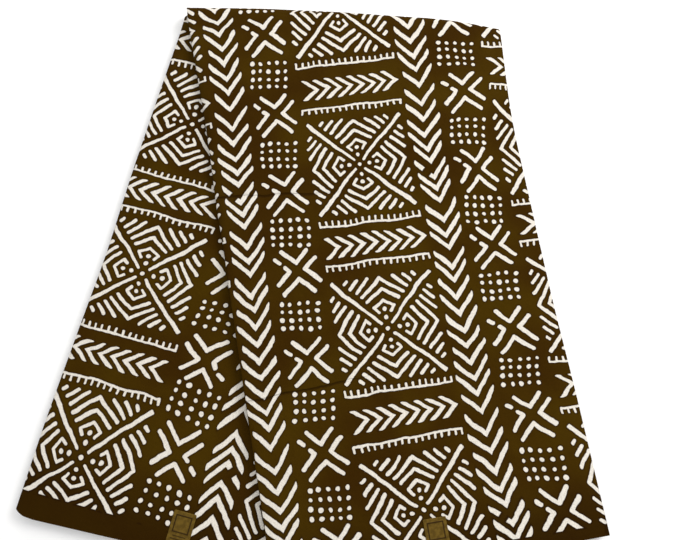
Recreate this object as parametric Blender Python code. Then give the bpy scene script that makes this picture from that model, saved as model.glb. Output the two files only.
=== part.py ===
"""A long printed cotton cloth, laid back and forth in panels and then turned over itself at a slant.

Its two halves, called legs here, fan apart from the turned-over top. The lower leg lies to the left
and the upper leg lies to the right, over it. A small label lies on the end of each leg.

The folded panels form one strip. A place on the strip has a distance along it from its middle, where
it is turned over, and a distance across it. A place in the plan is measured along the crease and away
from the crease, toward the legs.
"""

from collections import namedtuple
from math import cos, pi, radians, sin

import bmesh
import bpy
from mathutils import Vector

LEFT = -1
RIGHT = 1

# Sizes in metres
CLOTH_WIDTH = 1.17  # from one selvedge to the other, which is the length of the folded strip
PANEL_WIDTH = 0.326
SHEET = 0.0010  # one layer
LAYER_GAP = 0.00025
LEG_GAP = 0.0004  # between the two legs
FLAP_START = -0.125  # where the tucked-in cut end of the cloth lies across the strip

FAN = radians(12.0)  # from the crease's own square to either leg
CREASE_SLOPE = radians(2.8)  # the crease falls to the right
BEND_SQUASH = 0.75  # how far the turned-over top reaches, as a share of a round bend

DROOP_START = 0.0055  # from the lower leg's edge to where the upper leg starts to come down
DROOP_RUN = 0.0345
SQUEEZE = 0.012  # the least distance between the columns that follow the droop
ROLL_WIDTH = 0.018  # the soft roll along the left edge
CORNER = 0.006  # how far the folded corner of a leg's end is drawn back
END_SLANT = {LEFT: 0.03, RIGHT: 0.01}  # how much shorter each leg is for each metre to the right
BOW_FADE = 0.08  # how far down the legs the crease's bow is felt

LABEL_WIDTH = 0.022
LABEL_LENGTH = 0.036
LABEL_THICKNESS = 0.0005
PIECE_GAP = 0.0003

# Each run of the cloth across the strip, by its level in the pile. The first is the tucked-in flap,
# and level 0 is the outermost, which faces up on the upper leg.
LEVELS = (1, 0, 2, 3, 4, 5, 6, 7, 8)

# The fold at the end of each run but the last, and how far it lies inside the strip's edge
Fold = namedtuple("Fold", "side inset")
FOLDS = (
    Fold(RIGHT, 0.0002),
    Fold(LEFT, 0.0004),
    Fold(RIGHT, 0.0004),
    Fold(LEFT, 0.0014),
    Fold(RIGHT, 0.0006),
    Fold(LEFT, 0.0022),
    Fold(RIGHT, 0.0003),
    Fold(LEFT, 0.0000),
)
LAST_END_INSET = 0.0015

# How far the strip's edges stray to the right, by the distance along the strip from its middle.
# The lower leg has the distances below zero.
Edge = namedtuple("Edge", "along left right")
EDGES = (
    Edge(-0.590, -0.0014, -0.0010),
    Edge(-0.500, -0.0024, -0.0010),
    Edge(-0.410, -0.0008, -0.0010),
    Edge(-0.330, 0.0008, -0.0010),
    Edge(-0.240, -0.0030, -0.0010),
    Edge(-0.140, -0.0032, -0.0010),
    Edge(-0.060, -0.0030, -0.0024),
    Edge(-0.035, -0.0054, -0.0030),
    Edge(0.000, -0.0056, -0.0010),
    Edge(0.035, -0.0044, 0.0034),
    Edge(0.070, -0.0031, 0.0020),
    Edge(0.125, -0.0014, -0.0010),
    Edge(0.170, -0.0010, -0.0036),
    Edge(0.205, -0.0016, -0.0037),
    Edge(0.250, 0.0006, -0.0037),
    Edge(0.300, 0.0007, -0.0041),
    Edge(0.360, 0.0018, -0.0042),
    Edge(0.440, 0.0032, -0.0023),
    Edge(0.520, 0.0050, -0.0016),
    Edge(0.590, 0.0045, -0.0010),
)

# How far the crease bows out from a straight line, by the distance along it
Bow = namedtuple("Bow", "along out")
BOWS = (
    Bow(-0.172, 0.0),
    Bow(-0.090, 0.0030),
    Bow(0.000, 0.0030),
    Bow(0.065, 0.0010),
    Bow(0.110, 0.0),
    Bow(0.150, -0.0050),
    Bow(0.180, -0.0110),
)

# The rows of a leg: the share of the way from the turned-over top to the end, how thick the pile is
# there, and how thick its left edge is. The dips in the upper leg are its two old cross creases.
Row = namedtuple("Row", "share loft roll")
LOWER_ROWS = (
    Row(0.05, 1.0, 1.0),
    Row(0.12, 1.0, 1.0),
    Row(0.22, 1.0, 1.0),
    Row(0.38, 1.0, 1.05),
    Row(0.54, 0.99, 1.05),
    Row(0.70, 1.0, 1.06),
    Row(0.84, 1.0, 1.03),
    Row(1.0, 1.0, 1.0),
)
UPPER_ROWS = (
    Row(0.05, 1.0, 1.10),
    Row(0.12, 1.02, 1.16),
    Row(0.20, 1.0, 1.14),
    Row(0.28, 1.01, 1.10),
    Row(0.335, 0.93, 1.0),
    Row(0.39, 1.01, 1.08),
    Row(0.50, 1.02, 1.06),
    Row(0.60, 1.0, 1.06),
    Row(0.66, 0.94, 1.0),
    Row(0.72, 1.0, 1.05),
    Row(0.82, 1.0, 1.04),
    Row(0.90, 1.0, 1.03),
    Row(1.0, 1.0, 1.0),
)
TOP_ROW = Row(0.0, 1.0, 1.0)
BEND_STEPS = 8

# The labels, in their leg's own directions: from the crease's middle to the label's middle
Label = namedtuple("Label", "name leg along across")
LABELS = (
    Label("left_label", LEFT, 0.5525, -0.011),
    Label("right_label", RIGHT, 0.5445, 0.004),
)

COTTON_COLOUR = (0.052, 0.024, 0.002, 1.0)
FOIL_COLOUR = (0.19, 0.13, 0.02, 1.0)

# Worked out from the sizes above
PITCH = SHEET + LAYER_GAP
LEG_HEIGHT = max(LEVELS) * PITCH + SHEET
MIDDLE_HEIGHT = LEG_HEIGHT + LEG_GAP / 2
DROP = LEG_HEIGHT + LEG_GAP
BEND_HALF = pi / 2 * MIDDLE_HEIGHT * (1 + BEND_SQUASH) / 2
HALF_WIDTH = PANEL_WIDTH / 2
HALF_LENGTH = CLOTH_WIDTH / 2

# A place on the strip's section: the column it belongs to, how far it lies to the right of that
# column, and its height over the strip's outer face
SectionPoint = namedtuple("SectionPoint", "column shift height")
COLUMNS = 8
LAST_COLUMN = COLUMNS - 1
FLAP_COLUMN = 2
DROOP_COLUMN = 4
DROOP_STEPS = 2
FOLD_TURNS = (-90, -30, 30, 90)  # degrees round each fold


def clear_scene():
    for thing in list(bpy.data.objects):
        bpy.data.objects.remove(thing)


def smooth_step(value):
    held = min(max(value, 0.0), 1.0)
    return held * held * (3 - 2 * held)


def read_table(table, column, place):
    """A table's column at a place between its rows."""
    if place <= table[0].along:
        return getattr(table[0], column)
    for before, after in zip(table, table[1:]):
        if place <= after.along:
            share = (place - before.along) / (after.along - before.along)
            return getattr(before, column) * (1 - share) + getattr(after, column) * share
    return getattr(table[-1], column)


def level_height(level):
    """The middle of a level's layer, over the strip's outer face."""
    return level * PITCH + SHEET / 2


def fold_arc(start_level, end_level, fold, face):
    """One face of the cloth round a fold. face is 1 for the left of the way along the cloth."""
    start = level_height(start_level)
    end = level_height(end_level)
    upward = 1 if end > start else -1
    half = abs(end - start) / 2
    radius = half - face * fold.side * upward * SHEET / 2
    outer_radius = half + SHEET / 2
    column = 0 if fold.side == LEFT else LAST_COLUMN
    return [
        SectionPoint(
            column,
            fold.side * (radius * cos(radians(turn)) - fold.inset - outer_radius),
            (start + end) / 2 + upward * radius * sin(radians(turn)),
        )
        for turn in FOLD_TURNS
    ]


def cloth_face(face):
    """One face of the cloth, from the flap's cut end to the last cut end."""
    direction = RIGHT
    first_height = level_height(LEVELS[0]) + face * direction * SHEET / 2
    points = [SectionPoint(FLAP_COLUMN, 0.0, first_height)]
    inner_columns = range(FLAP_COLUMN + 1, LAST_COLUMN)
    for index, level in enumerate(LEVELS):
        height = level_height(level) + face * direction * SHEET / 2
        across = inner_columns if direction == RIGHT else reversed(inner_columns)
        points += [SectionPoint(column, 0.0, height) for column in across]
        if index < len(FOLDS):
            points += fold_arc(level, LEVELS[index + 1], FOLDS[index], face)
        else:
            points.append(SectionPoint(LAST_COLUMN, -LAST_END_INSET, height))
        direction = -direction
        inner_columns = range(1, LAST_COLUMN)
    return points


def strip_section():
    """The closed outline of the back-and-forth section."""
    return cloth_face(1) + cloth_face(-1)[::-1]


def strip_distance(across, row, leg):
    """How far along the strip from its middle a leg's row lies, at this place across."""
    tangent = (BEND_HALF + leg * across * sin(FAN)) / cos(FAN)
    from_left = across + HALF_WIDTH
    end = HALF_LENGTH - END_SLANT[leg] * across - CORNER * max(0.0, 1 - from_left / ROLL_WIDTH)
    return tangent * (1 - row.share) + end * row.share


def past_lower_edge(across, row):
    """How far a place on the upper leg lies past the lower leg's right edge, in the plan."""
    along = strip_distance(across, row, RIGHT)
    return along * sin(2 * FAN) + across * cos(2 * FAN) - BEND_HALF * sin(FAN) - HALF_WIDTH


def across_at(past_edge, row):
    """Where across the upper leg a row lies this far past the lower leg's right edge."""
    at_middle = past_lower_edge(0.0, row)
    per_metre = past_lower_edge(1.0, row) - at_middle
    return (past_edge - at_middle) / per_metre


def column_place(column, row):
    """How far across the strip a column lies. The last four follow the upper leg's droop."""
    if column == 0:
        return -HALF_WIDTH
    if column == 1:
        return -HALF_WIDTH + ROLL_WIDTH
    if column == FLAP_COLUMN:
        return FLAP_START
    if column == LAST_COLUMN:
        return HALF_WIDTH
    if column < DROOP_COLUMN:
        return (FLAP_START + column_place(DROOP_COLUMN, row)) / 2
    steps = column - DROOP_COLUMN
    free = across_at(DROOP_START + steps * DROOP_RUN / DROOP_STEPS, row)
    return min(free, HALF_WIDTH - (LAST_COLUMN - column) * SQUEEZE)


def stray(along, across):
    """How far a place on the strip lies to the right of where a straight strip would have it."""
    share = across / PANEL_WIDTH + 0.5
    left = read_table(EDGES, "left", along)
    right = read_table(EDGES, "right", along)
    return left * (1 - share) + right * share


def plan_place(along_crease, from_crease):
    """World directions of a place in the plan, before the part is centred."""
    return Vector(
        (
            along_crease * cos(CREASE_SLOPE) - from_crease * sin(CREASE_SLOPE),
            -along_crease * sin(CREASE_SLOPE) - from_crease * cos(CREASE_SLOPE),
        )
    )


def bowed(along_crease, from_crease, past_bend):
    """The distance from the crease with the crease's bow, which fades down the legs."""
    fade = 1 - smooth_step(past_bend / BOW_FADE)
    return from_crease - read_table(BOWS, "out", along_crease) * fade


def pile_loft(point, row):
    """How thick the pile is at a section point of a row."""
    return row.roll if point.column <= 1 else row.loft


def leg_place(along, across, leg):
    """The world place in the plan of a strip's place on a leg, with what its edges stray."""
    across += stray(leg * along, across)
    along_crease = leg * along * sin(FAN) + across * cos(FAN)
    past_bend = along * cos(FAN) - leg * across * sin(FAN) - BEND_HALF
    return plan_place(along_crease, bowed(along_crease, past_bend, past_bend))


def lower_point(point, row):
    across = column_place(point.column, TOP_ROW) + point.shift
    place = leg_place(strip_distance(across, row, LEFT), across, LEFT)
    return (*place, point.height * pile_loft(point, row))


def bend_point(point, turn):
    across = column_place(point.column, TOP_ROW) + point.shift
    along = (BEND_HALF * turn / 90 + across * sin(FAN)) / cos(FAN)
    across += stray(along, across)
    along_crease = along * sin(FAN) + across * cos(FAN)
    radius = MIDDLE_HEIGHT - point.height
    reach = -BEND_SQUASH * radius * cos(radians(turn))
    place = plan_place(along_crease, bowed(along_crease, reach, 0.0))
    return (*place, MIDDLE_HEIGHT + radius * sin(radians(turn)))


def upper_point(point, row):
    across = column_place(point.column, row) + point.shift
    place = leg_place(strip_distance(across, row, RIGHT), across, RIGHT)
    fall = DROP * smooth_step((past_lower_edge(across, row) - DROOP_START) / DROOP_RUN)
    base = MIDDLE_HEIGHT + LEG_GAP / 2
    height = base + (LEG_HEIGHT - point.height) * pile_loft(point, row) - fall
    return (*place, height)


def strip_rows(section):
    """Every row of points, from the lower leg's end round the turned-over top to the upper leg's."""
    rows = [[lower_point(point, row) for point in section] for row in reversed(LOWER_ROWS)]
    for step in range(BEND_STEPS + 1):
        turn = -90 + 180 * step / BEND_STEPS
        rows.append([bend_point(point, turn) for point in section])
    rows += [[upper_point(point, row) for point in section] for row in UPPER_ROWS]
    return rows


def plan_middle(rows):
    """The middle of the box round all the rows, in the plan."""
    xs = [place[0] for row in rows for place in row]
    ys = [place[1] for row in rows for place in row]
    return Vector(((min(xs) + max(xs)) / 2, (min(ys) + max(ys)) / 2))


def material(name, colour, roughness, metallic):
    made = bpy.data.materials.new(name)
    made.use_nodes = True
    shader = made.node_tree.nodes["Principled BSDF"]
    shader.inputs["Base Color"].default_value = colour
    shader.inputs["Roughness"].default_value = roughness
    shader.inputs["Metallic"].default_value = metallic
    made.diffuse_color = colour
    return made


def add_object(name, bm, look):
    bmesh.ops.recalc_face_normals(bm, faces=bm.faces)
    mesh = bpy.data.meshes.new(name)
    bm.to_mesh(mesh)
    bm.free()
    mesh.materials.append(look)
    made = bpy.data.objects.new(name, mesh)
    bpy.context.scene.collection.objects.link(made)
    return made


def side_faces(bm, rings, section):
    """Two triangles between each two rings and points, all cut the same way across the strip."""
    count = len(section)
    for before, after in zip(rings, rings[1:]):
        for index in range(count):
            following = (index + 1) % count
            here = (section[index].column, section[index].shift)
            there = (section[following].column, section[following].shift)
            corners = (before[index], before[following], after[following], after[index])
            first, second, third, fourth = corners
            if here <= there:
                bm.faces.new((first, second, third))
                bm.faces.new((first, third, fourth))
            else:
                bm.faces.new((first, second, fourth))
                bm.faces.new((second, third, fourth))


def end_faces(bm, ring):
    """The cut face of the section at a leg's end, between the cloth's two faces."""
    count = len(ring)
    for index in range(count // 2 - 1):
        near, far = ring[index], ring[count - 1 - index]
        next_near, next_far = ring[index + 1], ring[count - 2 - index]
        bm.faces.new((near, next_near, next_far))
        bm.faces.new((near, next_far, far))


def make_cloth(section, rows, middle):
    bm = bmesh.new()
    rings = [
        [bm.verts.new((x - middle.x, y - middle.y, z)) for x, y, z in row] for row in rows
    ]
    side_faces(bm, rings, section)
    end_faces(bm, rings[0])
    end_faces(bm, rings[-1])
    return add_object("cloth", bm, material("printed_cotton", COTTON_COLOUR, 0.85, 0.0))


def make_label(label, look, middle):
    """A thin sticker that lies on the top layer at a leg's end, square with the leg."""
    lean = label.leg * FAN
    along_crease = label.along * sin(lean) + label.across * cos(lean)
    from_crease = label.along * cos(lean) - label.across * sin(lean)
    place = plan_place(along_crease, from_crease) - middle
    bm = bmesh.new()
    bmesh.ops.create_cube(bm, size=1.0)
    bmesh.ops.scale(bm, vec=(LABEL_WIDTH, LABEL_LENGTH, LABEL_THICKNESS), verts=bm.verts)
    made = add_object(label.name, bm, look)
    made.location = (*place, LEG_HEIGHT + PIECE_GAP + LABEL_THICKNESS / 2)
    made.rotation_euler.z = lean - CREASE_SLOPE
    return made


def main():
    clear_scene()
    section = strip_section()
    rows = strip_rows(section)
    middle = plan_middle(rows)
    make_cloth(section, rows, middle)
    foil = material("gold_foil", FOIL_COLOUR, 0.4, 0.8)
    for label in LABELS:
        make_label(label, foil, middle)


main()
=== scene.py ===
"""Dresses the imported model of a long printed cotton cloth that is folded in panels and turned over.

The cloth is one thin sheet, laid back and forth in sixteen panels and a tucked-in flap, with its print
drawn by the shader in the cloth's own coordinates. Lengths are in metres, and print sizes in mm.
"""
from collections import namedtuple
from math import cos, hypot, pi, radians, sin

import bmesh
import bpy
import numpy as np
from mathutils import Matrix, Vector


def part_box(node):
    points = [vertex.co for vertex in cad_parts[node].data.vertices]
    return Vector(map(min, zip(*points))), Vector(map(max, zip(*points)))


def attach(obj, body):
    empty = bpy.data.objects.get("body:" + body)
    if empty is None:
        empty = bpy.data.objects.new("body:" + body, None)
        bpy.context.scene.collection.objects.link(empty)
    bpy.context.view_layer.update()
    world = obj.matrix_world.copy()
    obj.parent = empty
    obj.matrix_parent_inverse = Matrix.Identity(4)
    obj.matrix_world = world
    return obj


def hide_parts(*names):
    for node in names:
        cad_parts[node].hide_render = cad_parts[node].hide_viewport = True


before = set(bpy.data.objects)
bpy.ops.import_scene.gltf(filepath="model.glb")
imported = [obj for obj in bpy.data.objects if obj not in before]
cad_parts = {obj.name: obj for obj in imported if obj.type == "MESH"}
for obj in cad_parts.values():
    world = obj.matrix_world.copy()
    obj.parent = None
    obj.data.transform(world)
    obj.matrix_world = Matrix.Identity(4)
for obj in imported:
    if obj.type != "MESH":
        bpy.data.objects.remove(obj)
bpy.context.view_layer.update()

bl_info = {
    "name": "Folded printed cloth",
    "version": (1, 0),
    "blender": (4, 5, 0),
    "location": "3D View > Sidebar > Folded cloth",
    "description": "A long printed cotton cloth, folded in panels and turned over at a slant",
    "category": "Object",
}

LEFT = -1
RIGHT = 1
FAN = radians(12.0)
CREASE_SLOPE = radians(2.8)

# The strip that the folded panels form, as in the part's source
CLOTH_WIDTH = 1.17
PANEL_WIDTH = 0.326
LEG_HEIGHT = 0.011
LEG_GAP = 0.0004
BEND_SQUASH = 0.75
DROOP_START = 0.0055
DROOP_RUN = 0.0345
ROLL_WIDTH = 0.018
CORNER, CORNER_POWER = 0.006, 2.2
END_SLANT = {LEFT: 0.045, RIGHT: 0.012}
END_REACH = {LEFT: 0.0018, RIGHT: 0.0006}
BOW_FADE = 0.08
FLAP_START = -0.125

MIDDLE_HEIGHT = LEG_HEIGHT + LEG_GAP / 2
DROP = LEG_HEIGHT + LEG_GAP
BEND_HALF = pi / 2 * MIDDLE_HEIGHT * (1 + BEND_SQUASH) / 2
HALF_WIDTH = PANEL_WIDTH / 2
HALF_LENGTH = CLOTH_WIDTH / 2

Edge = namedtuple("Edge", "along left right")
EDGES = (
    Edge(-0.590, -0.0028, -0.0010),
    Edge(-0.500, -0.0038, -0.0010),
    Edge(-0.410, -0.0022, -0.0010),
    Edge(-0.330, -0.0004, -0.0010),
    Edge(-0.240, -0.0030, -0.0010),
    Edge(-0.140, -0.0032, -0.0010),
    Edge(-0.060, -0.0030, -0.0024),
    Edge(-0.035, -0.0054, -0.0030),
    Edge(0.000, -0.0056, -0.0010),
    Edge(0.035, -0.0044, 0.0056),
    Edge(0.070, -0.0031, 0.0021),
    Edge(0.125, -0.0014, -0.0010),
    Edge(0.170, -0.0010, -0.0036),
    Edge(0.205, -0.0016, -0.0037),
    Edge(0.250, 0.0006, -0.0037),
    Edge(0.300, 0.0007, -0.0041),
    Edge(0.360, 0.0018, -0.0042),
    Edge(0.440, 0.0032, -0.0023),
    Edge(0.520, 0.0050, -0.0016),
    Edge(0.590, 0.0045, -0.0010),
)
Bow = namedtuple("Bow", "along out")
BOWS = (
    Bow(-0.172, 0.0),
    Bow(-0.090, 0.0030),
    Bow(0.000, 0.0030),
    Bow(0.065, 0.0010),
    Bow(0.110, 0.0),
    Bow(0.150, -0.0050),
    Bow(0.180, -0.0110),
)

# The cloth's own sheet
PANELS = 16
SHEET = 0.00045
PITCH = (LEG_HEIGHT - SHEET) / PANELS
LEVELS = (1, 0) + tuple(range(2, PANELS + 1))

# How far each fold lies inside the strip's edge, by the level it starts from
FOLD_INSETS = {
    1: 0.0, 0: 0.0, 2: 0.0014, 3: 0.0045, 4: 0.0022, 5: 0.0050, 6: 0.0008, 7: 0.0042,
    8: 0.0026, 9: 0.0036, 10: 0.0012, 11: 0.0030, 12: 0.0030, 13: 0.0022, 14: 0.0010, 15: 0.0,
}
FOLD_TURNS = (-45, 0, 45)
FREE_END = 0.0015  # the last cut end, inside the strip's edge
FOLD_WANDER, WANDER_PITCH, WANDER_TURN = 0.0008, 0.047, 2.4
HIDDEN_LEVELS = (2, 3, 13, 15)
END_CUTS = (
    0, 0.0015, 0.001, 0.003, 0.002, 0.004, 0.0015, 0.0025, 0.004,
    0.002, 0.003, 0.001, 0.0035, 0.002, 0.0025, 0.001, 0,
)
EASE_STEPS = (-0.016, -0.008, 0.0, 0.008, 0.016)

# Soft edges and old creases
ROLL_ALONGS = (-0.02, 0.05, 0.22, 0.36, 0.59)
ROLL_DEPTHS = (0.0, 0.0042, 0.0038, 0.0016, 0.0014)
ROLL_LEVEL, ROLL_LEVELS = 2, 6  # the levels that it fades from, and over how many
LOWER_EDGE_DEPTH = 0.0015
LOWER_EDGE_REACH = 0.006
LOWER_EDGE_FADE = 0.08
EDGE_LEVEL, EDGE_LEVELS = 10, 5
WAVE = 0.014
FIRST_WAVE = (0.031, 0.07)
SECOND_WAVE = (0.036, 0.083)
END_CALM, END_EASE = 0.53, 0.06
Crease = namedtuple("Crease", "leg along slope start end width depth")
CREASES = (
    Crease(RIGHT, 0.2004, 0.088, -0.03, 0.15, 0.0045, 0.07),
    Crease(RIGHT, 0.4068, -0.047, -0.03, 0.15, 0.0045, 0.06),
)
# The short crease is drawn by the shader alone, as a dent in the bump and a line of painted shade
SHORT_CREASE = ((314.0, 561.0), (308.0, 579.0))  # in mm on the print
CREASE_BEND, BEND_PITCH, BEND_TURN = 0.0012, 0.021, 50
CREASE_EASE = 0.02
SHOULDER, SHOULDER_OUT, SHOULDER_WIDTH = 0.45, 1.9, 1.2  # beside the trough, by its depth and width

# Where the print lies on the upper leg: how far it has drifted to the right and down by the distance
# along the strip, in mm, at two places across it
REPEAT_WIDTH = 204.0
DRIFT_LEFT = 25.0
DRIFT_RIGHT = 228.0
Drift = namedtuple("Drift", "along left_x right_x left_y right_y")
DRIFTS = (
    Drift(0, 1.5, 1.5, -6.5, -3.0),
    Drift(30, 1.9, 1.4, -5.5, -1.0),
    Drift(60, 2.3, 1.2, -3.8, 1.5),
    Drift(100, 2.5, 0.8, -2.6, 2.4),
    Drift(165, 0.5, -3.5, -3.0, 1.8),
    Drift(205, 0.0, -3.5, -3.0, 1.4),
    Drift(240, 0.3, -2.2, -2.4, 2.2),
    Drift(290, -0.6, -1.8, -1.8, 2.0),
    Drift(325, -2.5, -3.0, -0.2, 0.5),
    Drift(360, -3.0, -2.0, 1.6, 1.8),
    Drift(400, -3.5, -1.0, 0.8, 0.8),
    Drift(450, -3.3, -1.0, 0.4, -2.2),
    Drift(500, -3.0, 0.5, 1.0, -1.7),
    Drift(545, -3.0, 5.5, 1.2, 2.2),
    Drift(585, -3.0, 9.0, 1.2, 2.5),
)

# How far the print lies higher at the upper leg's top right, and where that begins across and ends down
EDGE_LIFT = 5.0
LIFT_START, LIFT_RUN = 297, 8
LIFT_END, LIFT_FADE = 175, 60

# Where it lies on the lower leg, which shows the cloth's other end turned half round: its places across,
# and how far it is stretched along the strip left and right of a middle place
BACK_REPEATS = 23
BACK_ACROSS = (-20.0, 0.7, 42.3, 131.1, 180.2, 330.0)
BACK_PRINT = (212.5, 192.8, 154.0, 71.5, 24.8, -117.9)
BACK_MIDDLE, BACK_BLEND = 100, 30
BACK_ALONG = (0, 100, 150, 190, 250, 340, 400, 440, 467, 490, 516, 530, 550, 585)
BACK_STRETCH = (
    (0, 0, 5, 5, 1.2, 2.7, 1.4, 1.3, 3.5, 7, 11.3, 13.3, 15.3, 17.5),
    (0, -0.5, -0.8, -1, -1.3, -1.7, -2.8, 2.3, 6.2, 9, 11.3, 13.2, 15.5, 18),
)

# Where the two legs' places on the print begin to part, past the turned-over top's middle
PARTED_ALONG = 10
PARTED_ACROSS = (-20, 40)

# The columns that every layer follows: the left fold, the roll's inner side, the flap's end, and those
# across the droop of the upper leg
ROLL_REACH = 0.010
DROOP_STEPS = 8
TAIL = 0.005
FLAP_MARK = 2
MARKS = 3 + DROOP_STEPS + 2
LAST_MARK = MARKS - 1

# The steps that a run takes from mark to mark, before and after the droop: the outermost run, the upper
# and lower hidden ones, and the last
RUN_STEPS = ((5, 3, 16, 12), (4, 1, 3, 2), (2, 1, 3, 2), (5, 3, 22, 2))

# The rows, by share of the way down a leg
LOWER_SHARES = np.r_[np.linspace(0.02, 0.10, 4), np.linspace(0.14, 1.0, 24)]
UPPER_SHARES = np.r_[
    np.linspace(0.015, 0.29, 16), np.linspace(0.305, 0.42, 14),
    np.linspace(0.44, 0.62, 9), np.linspace(0.635, 0.74, 10), np.linspace(0.76, 1.0, 14),
]
BEND_TURNS = np.linspace(-90, 90, 17)

Label = namedtuple("Label", "node leg along across")
LABELS = (
    Label("left_label", LEFT, 0.5525, -0.011),
    Label("right_label", RIGHT, 0.5445, 0.004),
)

PRESSED_MAP = "pressed_lines"
LABEL_GRID = (55, 90)
LABEL_CORNER = 0.0012
LABEL_ROUND = 0.0002
FRAME_MIDDLE = 0.0065
FRAME_HALF = 0.0075
FRAME_LINE = 0.0012
LINE_HALF = 0.0004
PRESSED_EDGE = 0.0003
LABEL_LINES = ((-0.0045, 0.0065), (-0.0075, 0.0080), (-0.0105, 0.0050))

# The print, in mm, with x to the right and y down the upper leg
PRINT_MAP = "print_place"
REPEAT_HEIGHT = 348.0
OTHER_END = -2000.0  # x is below it at the cloth's other end, which the lower leg shows
PLAIN_MIDDLE = 8.5
PLAIN_EDGE = 561.5

# How far the strokes wander, by noise of two sizes
WAVE_SIZE, WAVE_REACH = 26.0, 4.2
SHAKE_SIZE, SHAKE_REACH = 5.0, 1.1

# The columns of nested chevrons, whose right arms are steeper
CHEVRON_X = 24.8
CHEVRON_CENTRES = (
    4.8, 21.8, 38.2, 54.9, 71.7, 87.0, 105.0, 127.1, 144.7, 162.7, 178.4,
    191.5, 209.2, 222.0, 235.0, 256.5, 271.7, 285.3, 306.1, 319.2, 336.5,
)
CHEVRON_SLOPE = 1.06
CHEVRON_STEEPER = 0.13
CHEVRON_THIN = 0.66  # turns a height across an arm into a distance
CHEVRON_ARM = 15.6
CHEVRON_BLUNT = 1.5
CHEVRON_UNEVEN = 3.0
CHEVRON_LEAN = 0.1
CHEVRON_HALF = 2.05
BROKEN_CENTRE = 209.2
BREAK_X = -6.3
BREAK_SLOPE = 0.5
BREAK_HALF = 2.9
UNBROKEN = 60.0  # more than any stroke's reach

# The crosses and the small grids of dots between them
CROSS_X = 72.4
CROSS_CENTRES = (27.8, 116.8, 204.7, 287.0)
CROSS_HALF = 1.95
CROSS_LINES = (
    ((-13, -20), (0, -7.5), (11.5, -20)),
    ((19, -11), (7.5, 0), (20.5, 13)),
    ((-15, 22.5), (0.5, 8.5), (15, 22.5)),
    ((-11.8, -3.6), (-8, 0), (-20.5, 13)),
    ((-21.0, -12.2), (-17.0, -9.0)),
)
DOTS_X = 70.5
DOTS_CENTRES = (72.6, 163.5, 247.8, 331.8)
DOTS_LEAN = radians(5.7)
DOT_COLUMNS = (-2.0, 2.0)
DOT_ROWS = (-2.0, 1.0)
DOT_ROWS_MIDDLE = 4.15
DOT_PITCH_DOWN = 8.3
DOT_PITCH = 8.8
DOT_PITCH_MORE = 1.2  # at the cloth's other end
DOT_STRAY = 1.2
DOT_LEAST, DOT_MORE = 1.7, 0.7

# The square blocks: an eighth of one is drawn, with x beside a leg of its crossing and y out along it
BLOCK_X = 154.0
BLOCK_MIDDLE = 96.35
BLOCK_SPREAD = 88.25
THICK_HALF = 1.6
BLOCK_VS = (
    ((0, 38.5), (15.3, 27.3)),
    ((0, 49), (20.5, 32.5)),
    ((25.5, 37.5), (12.5, 50.5)),
    ((30.7, 42.7), (23, 50.5)),
    ((36, 48), (33.5, 50.5)),
)
THIN_HALF = 1.35
BLOCK_LINES = (
    ((5.5, 5.5), (49, 50)),
    ((0, 27.5), (9.5, 21), (6, 16.5)),
)
RING_OUT, RING_SPREAD, RING_HALF = 15.15, 3.85, 2.0
MIDDLE_HALF = 2.1

# The rows of arrowheads between combs, every second of which is narrower
BAND_CENTRE = 93.8
ARROW_REACH = 35.3
ARROW_PITCH = 12.4
LAST_ARROW = 7.0
ARROW_MIDDLE = 1.2
ARROW_SLOPE = 1.2
ARROW_THIN = 0.64  # turns a width across an arm into a distance
ARROW_ARM = 10.2
ARROW_BLUNT = 1.56
ARROW_HALF = 1.75
COMB_OUT = 23.8
COMB_NARROWER = 3.7
COMB_LEAN = 0.012
COMB_REACH = 52.5
TOOTH_PITCH = 6.56
LAST_TOOTH = 8.0
TOOTH_MIDDLE = 2.4
COMB_HALF = 1.0

# The cloth's colours and surface: how far the strokes' soft edges and the darker ground beside them
# reach, the sizes of its noises and threads in mm, and the depth of its threads and creases in metres
STROKE_EDGE = (-0.3, 0.35)
HALO_EDGE = (0.2, 2.2)
SELVEDGE_EDGE = (-60.0, 8.0)
DARKER = 0.7
PATCH_SIZE = 75.0
GRAIN_SIZE = 1.6
CRINKLE_SIZE, FINE_CRINKLE_SIZE, FINE_SHARE = 17.0, 4.5, 0.25
THREAD = 0.55
THREAD_DEPTH = 0.00004
# The sharp old creases' lines, in mm, dent the bump and darken the ground as painted shade
CREASE_LINE = 2.0
CREASE_START = -30.0
CREASE_FADE = (90.0, 140.0)
CREASE_DEPTH = 0.0012

PLAN_MIDDLE = (-0.02687, -0.28501)
CAMERA_PLACE = (0.0259, -0.1383, 0.6906)
CAMERA_TILT = radians(12.0)


# ---------------------------------------------------------------- the folded cloth's shape


def smooth_step(value):
    held = np.clip(value, 0.0, 1.0)
    return held * held * (3 - 2 * held)


def read_table(table, column, places):
    """A table's column at places between its rows, eased over its corners."""
    alongs = [row.along for row in table]
    values = [getattr(row, column) for row in table]
    eased = [np.interp(places + step, alongs, values) for step in EASE_STEPS]
    return sum(eased) / len(eased)


def level_height(level):
    """The middle of a level's layer, over the strip's outer face."""
    return level * PITCH + SHEET / 2


def fold_reach(index):
    """How far a fold's ends lie inside the strip's edge."""
    before, after = LEVELS[index], LEVELS[index + 1]
    return FOLD_INSETS[before] + abs(after - before) * PITCH / 2 + SHEET / 2


def run_marks(level):
    """The places that one run of the cloth across the strip has points at, counted in marks."""
    steps = RUN_STEPS[0 if level == 0 else 3 if level == PANELS else 1 if level <= 8 else 2]
    counts = steps[:3] + (1,) * DROOP_STEPS + steps[3:]
    marks = [mark + step / count for mark, count in enumerate(counts) for step in range(count)]
    return np.array(marks + [LAST_MARK])


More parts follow.
